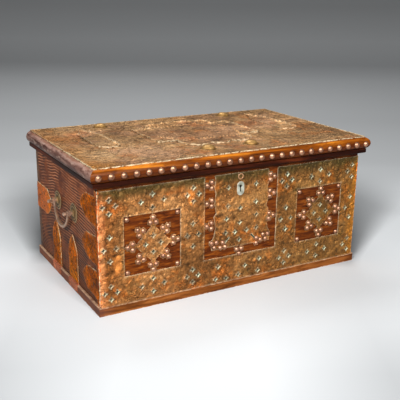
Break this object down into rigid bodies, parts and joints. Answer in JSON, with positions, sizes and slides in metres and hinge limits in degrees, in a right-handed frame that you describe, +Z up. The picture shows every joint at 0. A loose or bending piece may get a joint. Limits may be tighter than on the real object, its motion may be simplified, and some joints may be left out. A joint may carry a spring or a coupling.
{
  "type": "dowry chest",
  "caption": "Low hardwood dowry chest faced with pierced sheet brass, with a hinged moulded lid, a drop handle on each end and a sliding lock bolt.",
  "frame": {"origin": "centre of the base, on the surface that the chest stands on", "axes": "+X along the width to the viewer's right, +Y from the front to the back, +Z up"},
  "size_m": [0.6468, 0.4072, 0.2943],
  "materials": {
    "carcass_wood": "old dark hardwood, waxed",
    "plinth_wood": "old dark hardwood, waxed",
    "lid_wood": "old red-brown hardwood, polished by use",
    "lip_wood": "old dark hardwood, waxed",
    "front_brass": "hand-beaten sheet, patinated",
    "lid_brass": "hand-beaten sheet, patinated",
    "end_copper": "hand-beaten coppery sheet, patinated",
    "nail_copper": "domed nail heads, rubbed bright",
    "boss_brass": "rubbed bright on the crown",
    "handle_brass": "cast and turned, patinated",
    "escutcheon_metal": "tinned, pale",
    "hinge_iron": "forged, blackened",
    "lock_iron": "forged, blackened"
  },
  "bodies": {
    "chest": {"back_board": "carcass_wood", "back_plinth": "plinth_wood", "bottom_board": "carcass_wood", "front_board": "carcass_wood", "front_plinth": "plinth_wood", "front_sheet": "front_brass", "keyhole_escutcheon": "escutcheon_metal", "left_end_board": "carcass_wood", "left_front_strap": "end_copper", "left_handle_posts": "handle_brass", "left_handle_roses": "handle_brass", "left_hinge_leaf": "hinge_iron", "left_hinge_pin": "hinge_iron", "left_panel_nails": "nail_copper", "left_plinth": "plinth_wood", "left_rear_corner_plate": "end_copper", "left_rear_strap": "end_copper", "left_star_plate": "front_brass", "lock_case": "lock_iron", "lock_panel_nails": "nail_copper", "lock_panel_trefoils": "front_brass", "lock_plate": "front_brass", "lock_plate_ring": "escutcheon_metal", "right_end_board": "carcass_wood", "right_front_strap": "end_copper", "right_handle_posts": "handle_brass", "right_handle_roses": "handle_brass", "right_hinge_leaf": "hinge_iron", "right_hinge_pin": "hinge_iron", "right_panel_nails": "nail_copper", "right_plinth": "plinth_wood", "right_rear_corner_plate": "end_copper", "right_rear_strap": "end_copper", "right_star_plate": "front_brass"},
    "lid": {"lid_board": "lid_wood", "front_nosing": "lid_wood", "left_nosing": "lid_wood", "right_nosing": "lid_wood", "front_lip": "lip_wood", "left_lip": "lip_wood", "right_lip": "lip_wood", "lid_sheet": "lid_brass", "lid_centre_overlay": "lid_brass", "lid_left_overlay": "lid_brass", "lid_right_overlay": "lid_brass", "lid_edge_nails": "nail_copper", "front_bosses": "boss_brass", "rear_bosses": "boss_brass", "left_hinge_strap": "hinge_iron", "right_hinge_strap": "hinge_iron", "lock_catch": "lock_iron"},
    "left_bail": {"left_bail": "handle_brass"},
    "right_bail": {"right_bail": "handle_brass"},
    "lock_bolt": {"lock_bolt": "lock_iron"}
  },
  "joints": [
    {"name": "lid_hinge", "type": "hinge", "parent": "chest", "child": "lid", "pos_m": [0, 0.1878, 0.2547], "axis": [-1, 0, 0], "range_deg": [0, 105]},
    {"name": "left_handle_swing", "type": "hinge", "parent": "chest", "child": "left_bail", "pos_m": [-0.3105, -0.0075, 0.166], "axis": [0, 1, 0], "range_deg": [0, 180]},
    {"name": "right_handle_swing", "type": "hinge", "parent": "chest", "child": "right_bail", "pos_m": [0.3105, -0.0075, 0.166], "axis": [0, -1, 0], "range_deg": [0, 180]},
    {"name": "lock_bolt_slide", "type": "slide", "parent": "chest", "child": "lock_bolt", "axis": [1, 0, 0], "range_m": [0, 0.01]}
  ]
}
